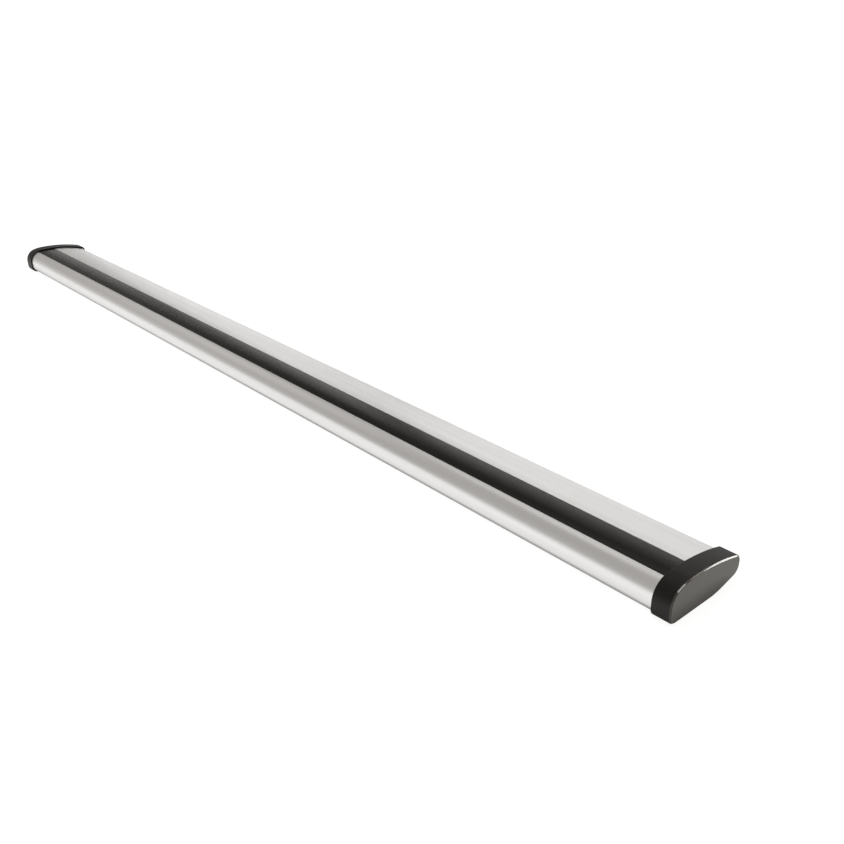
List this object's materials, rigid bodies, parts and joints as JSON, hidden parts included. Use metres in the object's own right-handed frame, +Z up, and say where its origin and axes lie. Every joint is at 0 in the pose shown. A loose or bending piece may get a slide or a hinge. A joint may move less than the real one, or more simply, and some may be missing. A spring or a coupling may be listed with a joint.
{
  "type": "roof rack crossbar",
  "caption": "Aerofoil aluminium roof rack crossbar with T-slots above and below, a rubber slot strip and push-fit end caps with bevelled trim plates.",
  "frame": {"origin": "on the ground under the middle of the bar, at the bottom centre of its bounding box", "axes": "+X along the bar, -Y towards the leading edge, +Z up through the strip"},
  "size_m": [1.2, 0.0872, 0.0322],
  "materials": {
    "anodised_aluminium": "satin anodised, finely brushed along the bar",
    "strip_rubber": "matt",
    "cap_plastic": "fine moulded grain",
    "plate_gunmetal": "gunmetal lacquer under gloss"
  },
  "bodies": {
    "bar": {"bar_extrusion": "anodised_aluminium", "slot_strip": "strip_rubber"},
    "left_cap": {"end_cap_left": "cap_plastic", "end_plate_left": "plate_gunmetal"},
    "right_cap": {"end_cap_right": "cap_plastic", "end_plate_right": "plate_gunmetal"}
  },
  "joints": [
    {"name": "left_cap_pull", "type": "slide", "parent": "bar", "child": "left_cap", "axis": [-1, 0, 0], "range_m": [0, 0.03]},
    {"name": "right_cap_pull", "type": "slide", "parent": "bar", "child": "right_cap", "axis": [1, 0, 0], "range_m": [0, 0.03]}
  ]
}
